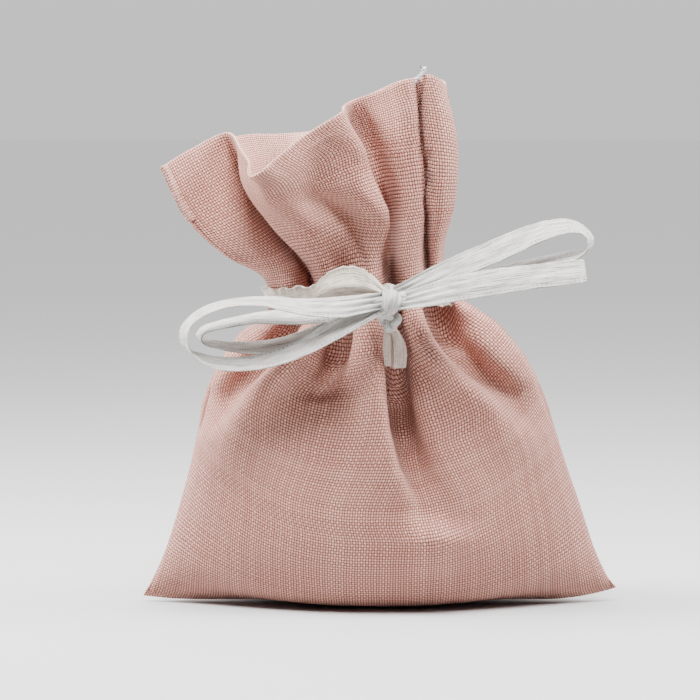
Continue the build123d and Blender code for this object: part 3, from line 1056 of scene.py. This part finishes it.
class Shader:
    """A material's node tree, with short calls for the nodes used here."""

    def __init__(self, name):
        self.material = bpy.data.materials.new(name)
        self.material.use_nodes = True
        self.tree = self.material.node_tree
        self.surface = self.tree.nodes["Principled BSDF"]

    def node(self, kind):
        return self.tree.nodes.new("ShaderNode" + kind)

    def set(self, socket, value):
        self.put(self.surface.inputs[socket], value)

    def finish(self, values):
        for socket, value in values.items():
            self.set(socket, value)

    def put(self, socket, value):
        if isinstance(value, bpy.types.NodeSocket):
            self.tree.links.new(value, socket)
        elif socket.type == "RGBA":
            socket.default_value = (*value, 1.0)
        else:
            socket.default_value = value

    def math(self, operation, a, b=0.0):
        node = self.node("Math")
        node.operation = operation
        self.put(node.inputs[0], a)
        self.put(node.inputs[1], b)
        return node.outputs[0]

    def plus(self, a, b):
        return self.math("ADD", a, b)

    def minus(self, a, b):
        return self.math("SUBTRACT", a, b)

    def times(self, a, b):
        return self.math("MULTIPLY", a, b)

    def zigzag(self, value, size):
        """Rises and falls between 0 and size."""
        return self.math("PINGPONG", value, size)

    def flat(self, width, length):
        """Flat place on the cloth, counted in units of width and length millimetres: u and v."""
        place = self.node("UVMap")
        place.uv_map = "cloth"
        split = self.node("SeparateXYZ")
        self.tree.links.new(place.outputs[0], split.inputs[0])
        return (
            self.math("DIVIDE", split.outputs[0], width * MM),
            self.math("DIVIDE", split.outputs[1], length * MM),
        )

    def vector(self, x, y):
        node = self.node("CombineXYZ")
        self.put(node.inputs[0], x)
        self.put(node.inputs[1], y)
        return node.outputs[0]

    def noise(self, vector, scale, detail):
        node = self.node("TexNoise")
        self.put(node.inputs["Vector"], vector)
        node.inputs["Scale"].default_value = scale
        node.inputs["Detail"].default_value = detail
        return node.outputs[0]

    def random(self, value):
        node = self.node("TexWhiteNoise")
        node.noise_dimensions = "1D"
        self.put(node.inputs["W"], value)
        return node.outputs["Value"]

    def ramp(self, value, low, high, start=0.0, end=1.0):
        node = self.node("MapRange")
        node.interpolation_type = "SMOOTHSTEP"
        for socket, number in zip(node.inputs, (value, low, high, start, end)):
            self.put(socket, number)
        return node.outputs[0]

    def mix(self, factor, a, b, kind="RGBA"):
        node = self.node("Mix")
        node.data_type = kind
        for socket, value in (("Factor", factor), ("A", a), ("B", b)):
            self.put(node.inputs[socket], value)
        return node.outputs["Result"]

    def blend(self, factor, a, b):
        """Mix of two numbers."""
        return self.mix(factor, a, b, "FLOAT")

    def bump(self, height, distance, strength=1.0):
        node = self.node("Bump")
        self.put(node.inputs["Height"], height)
        node.inputs["Distance"].default_value = distance
        node.inputs["Strength"].default_value = strength
        self.set("Normal", node.outputs[0])


# Cloth threads: their pitch in millimetres, and how far the weft lies below the warp, which also gives
# the weft more painted shade
WARP_PITCH = 0.60
WEFT_PITCH = 0.65
WEFT_DROP = 0.64
BUMP = 0.00022
CLOTH_FINISH = {
    "Specular IOR Level": 0.35,
    "Sheen Weight": 0.1,
    "Sheen Roughness": 0.4,
    "Sheen Tint": (1.0, 0.86, 0.82),
    "Subsurface Weight": 0.12,
    "Subsurface Scale": 0.0012,
    "Subsurface Radius": (1.0, 0.5, 0.4),
}
RIBBON_FINISH = {
    "Specular IOR Level": 0.4,
    "Sheen Weight": 0.3,
    "Sheen Roughness": 0.35,
    "Subsurface Weight": 0.15,
    "Subsurface Scale": 0.0015,
    "Subsurface Radius": (1.0, 0.95, 0.9),
}


def woven_cloth(name, light, middle, gap_shade):
    """Plain weave seen thread by thread, from the flat place on the cloth, with painted shade between
    the threads.
    """
    shader = Shader(name)
    u, v = shader.flat(WARP_PITCH, WEFT_PITCH)
    wander = shader.noise(shader.vector(u, v), 0.11, 3.0)
    u = shader.plus(u, shader.times(wander, 0.7))
    v = shader.plus(v, shader.times(wander, -0.7))
    across_warp = shader.times(shader.zigzag(u, 0.5), 2.0)
    across_weft = shader.times(shader.zigzag(v, 0.5), 2.0)
    warp = shader.math("FLOOR", shader.plus(u, 0.5))
    weft = shader.math("FLOOR", shader.plus(v, 0.5))
    turn = shader.zigzag(shader.plus(warp, weft), 1.0)
    across = shader.blend(turn, across_warp, across_weft)
    lengthwise = shader.blend(turn, across_weft, across_warp)
    roundness = shader.minus(1.0, shader.math("POWER", across, 2.4))
    arch = shader.minus(1.0, shader.times(shader.math("POWER", lengthwise, 2.0), 0.75))
    height = shader.times(roundness, arch)
    height = shader.times(height, shader.ramp(turn, 0.0, 1.0, 1.0, WEFT_DROP))
    thread = shader.blend(turn, shader.random(warp), shader.random(shader.plus(weft, 0.37)))
    fibre = shader.noise(shader.vector(u, v), 3.0, 2.0)
    patch = shader.noise(shader.vector(u, v), 0.03, 2.0)
    tone = shader.plus(shader.times(thread, 0.35), shader.times(fibre, 0.3))
    tone = shader.plus(tone, shader.times(patch, 0.35))
    top = shader.mix(shader.ramp(tone, 0.2, 0.8), middle, light)
    # Colour: the threads' tone, darkened to the painted shade colour where the weave lies low, between
    # the threads and on the weft
    shader.set("Base Color", shader.mix(shader.ramp(height, 0.05, 0.76), gap_shade, top))
    shader.set("Roughness", shader.ramp(height, 0.0, 1.0, 0.95, 0.62))
    shader.finish(CLOTH_FINISH)
    shader.bump(height, BUMP, 0.8)
    return shader.material


def woven_ribbon(name, light, shade, selvedge):
    """Soft narrow ribbon: fine lengthwise threads, faint cross ribs and a stitched edge."""
    shader = Shader(name)
    u, v = shader.flat(1.0, 1.0)
    threads = shader.noise(shader.vector(shader.times(u, 3.4), shader.times(v, 0.16)), 1.0, 3.0)
    ribs = shader.zigzag(shader.times(v, 3.4), 1.0)
    strand = shader.zigzag(shader.times(u, 4.0), 1.0)
    soft = shader.noise(shader.vector(u, shader.times(v, 0.5)), 0.5, 2.0)
    tone = shader.plus(shader.times(threads, 0.7), shader.times(soft, 0.3))
    tone = shader.plus(tone, shader.times(shader.times(ribs, strand), 0.1))
    body = shader.mix(shader.ramp(tone, 0.34, 0.62), shade, light)
    from_edge = shader.minus(3.0, shader.math("ABSOLUTE", shader.minus(u, 3.0)))
    in_edge = shader.times(shader.ramp(from_edge, 0.25, 0.45), shader.ramp(from_edge, 1.05, 0.8))
    dots = shader.ramp(shader.zigzag(shader.times(v, 0.95), 0.5), 0.28, 0.42)
    faded = shader.ramp(shader.noise(shader.vector(u, v), 0.11, 1.0), 0.42, 0.62)
    marks = shader.times(shader.times(in_edge, dots), faded)
    shader.set("Base Color", shader.mix(shader.times(marks, 0.55), body, selvedge))
    shader.set("Roughness", shader.ramp(tone, 0.2, 0.8, 0.62, 0.42))
    shader.finish(RIBBON_FINISH)
    height = shader.plus(shader.times(threads, 0.9), shader.times(strand, 0.22))
    height = shader.plus(height, shader.times(ribs, 0.12))
    height = shader.minus(height, shader.times(marks, 0.25))
    shader.bump(height, BUMP, 0.7)
    return shader.material


def twisted_thread(name):
    shader = Shader(name)
    u, v = shader.flat(1.0, 1.0)
    turn = shader.zigzag(shader.plus(shader.times(v, 2.0), u), 1.0)
    # The colour follows the twist's height: the darker grey in the grooves is painted shade
    shader.set("Base Color", shader.mix(turn, (0.42, 0.41, 0.42), (0.66, 0.65, 0.66)))
    shader.set("Roughness", 0.6)
    shader.bump(turn, 0.0001)
    return shader.material


# Each woven cloth's last colour is painted shade for the spaces between threads
SACK_CLOTH = woven_cloth(
    "sack_cloth", (0.82, 0.455, 0.365), (0.58, 0.27, 0.208), (0.105, 0.017, 0.011)
)
# The hem layer is the sack's cloth painted lighter: painted light on the inside of the mouth
LIT_HEM_CLOTH = woven_cloth(
    "hem_cloth", (0.88, 0.55, 0.46), (0.72, 0.40, 0.32), (0.19, 0.045, 0.03)
)
RIBBON = woven_ribbon("ribbon", (0.52, 0.51, 0.485), (0.20, 0.192, 0.172), (0.07, 0.066, 0.06))
NECK_RIBBON = woven_ribbon(
    "neck_ribbon", (0.60, 0.535, 0.46), (0.29, 0.225, 0.175), (0.16, 0.12, 0.10)
)
TAIL_RIBBON = woven_ribbon(
    "tail_ribbon", (0.58, 0.47, 0.415), (0.31, 0.22, 0.18), (0.18, 0.12, 0.10)
)
THREAD = twisted_thread("thread")

# ---------------------------------------------------------------- making

make_ribbons()
cloth_places = relaxed_cloth()
front_points = make_panel("front_cloth", -1, cloth_places, "front_panel")
back_points = make_panel("back_cloth", 1, cloth_places, "back_panel")
make_hem("front_hem_layer", -1, front_points, "front_hem")
make_hem("back_hem_layer", 1, back_points, "back_hem")
make_side_seam("left_seam_allowance", 0, front_points, back_points, "left_side_seam")
make_side_seam("right_seam_allowance", FINE_COLUMNS, front_points, back_points, "right_side_seam")
make_bottom_seam(front_points, back_points)
make_neck_band(front_points, back_points)
make_lobe()
make_bow_knot()
make_neck_knot()
make_neck_tails()
make_thread()

# ---------------------------------------------------------------- floor and light


def make_floor():
    mesh = bpy.data.meshes.new("floor")
    mesh.from_pydata([(-4, -4, 0), (4, -4, 0), (4, 4, 0), (-4, 4, 0)], [], [(0, 1, 2, 3)])
    floor = link("floor", mesh)
    shader = Shader("floor")
    shader.set("Base Color", (0.50, 0.50, 0.50))
    shader.set("Roughness", 0.9)
    shader.set("Specular IOR Level", 0.1)
    mesh.materials.append(shader.material)


LIGHTS = {
    "top": ((-0.02, -0.12, 0.40), 0.16, 4.0),
    "left": ((-0.34, 0.0, 0.34), 0.16, 4.9),
    "right": ((0.34, -0.02, 0.34), 0.16, 3.6),
}
WORLD_FRONT = 0.03
WORLD_BACK = 3.4
WORLD_HORIZON = 0.25
LIGHT_AIM = Vector((-0.005, 0.0, 0.07))


def make_lights():
    for name, (place, size, power) in LIGHTS.items():
        data = bpy.data.lights.new(name, "AREA")
        data.size = size
        data.energy = power
        light = link(name, data)
        light.visible_camera = False
        light.location = place
        light.rotation_euler = (LIGHT_AIM - Vector(place)).to_track_quat("-Z", "Y").to_euler()
    world = bpy.data.worlds.new("studio")
    world.use_nodes = True
    tree = world.node_tree
    place = tree.nodes.new("ShaderNodeTexCoord")
    split = tree.nodes.new("ShaderNodeSeparateXYZ")
    tree.links.new(place.outputs["Generated"], split.inputs[0])
    strength = tree.nodes.new("ShaderNodeMath")
    strength.operation = "MULTIPLY"
    gradients = ((1, -0.35, 0.6, WORLD_FRONT, WORLD_BACK), (2, 0.0, 0.3, WORLD_HORIZON, 1.0))
    for factor, (axis, *numbers) in zip(strength.inputs, gradients):
        gradient = tree.nodes.new("ShaderNodeMapRange")
        gradient.interpolation_type = "SMOOTHSTEP"
        for socket, number in zip(gradient.inputs[1:5], numbers):
            socket.default_value = number
        tree.links.new(split.outputs[axis], gradient.inputs[0])
        tree.links.new(gradient.outputs[0], factor)
    background = tree.nodes["Background"]
    background.inputs["Color"].default_value = (1.0, 1.0, 1.0, 1.0)
    tree.links.new(strength.outputs[0], background.inputs["Strength"])
    bpy.context.scene.world = world


make_floor()
make_lights()
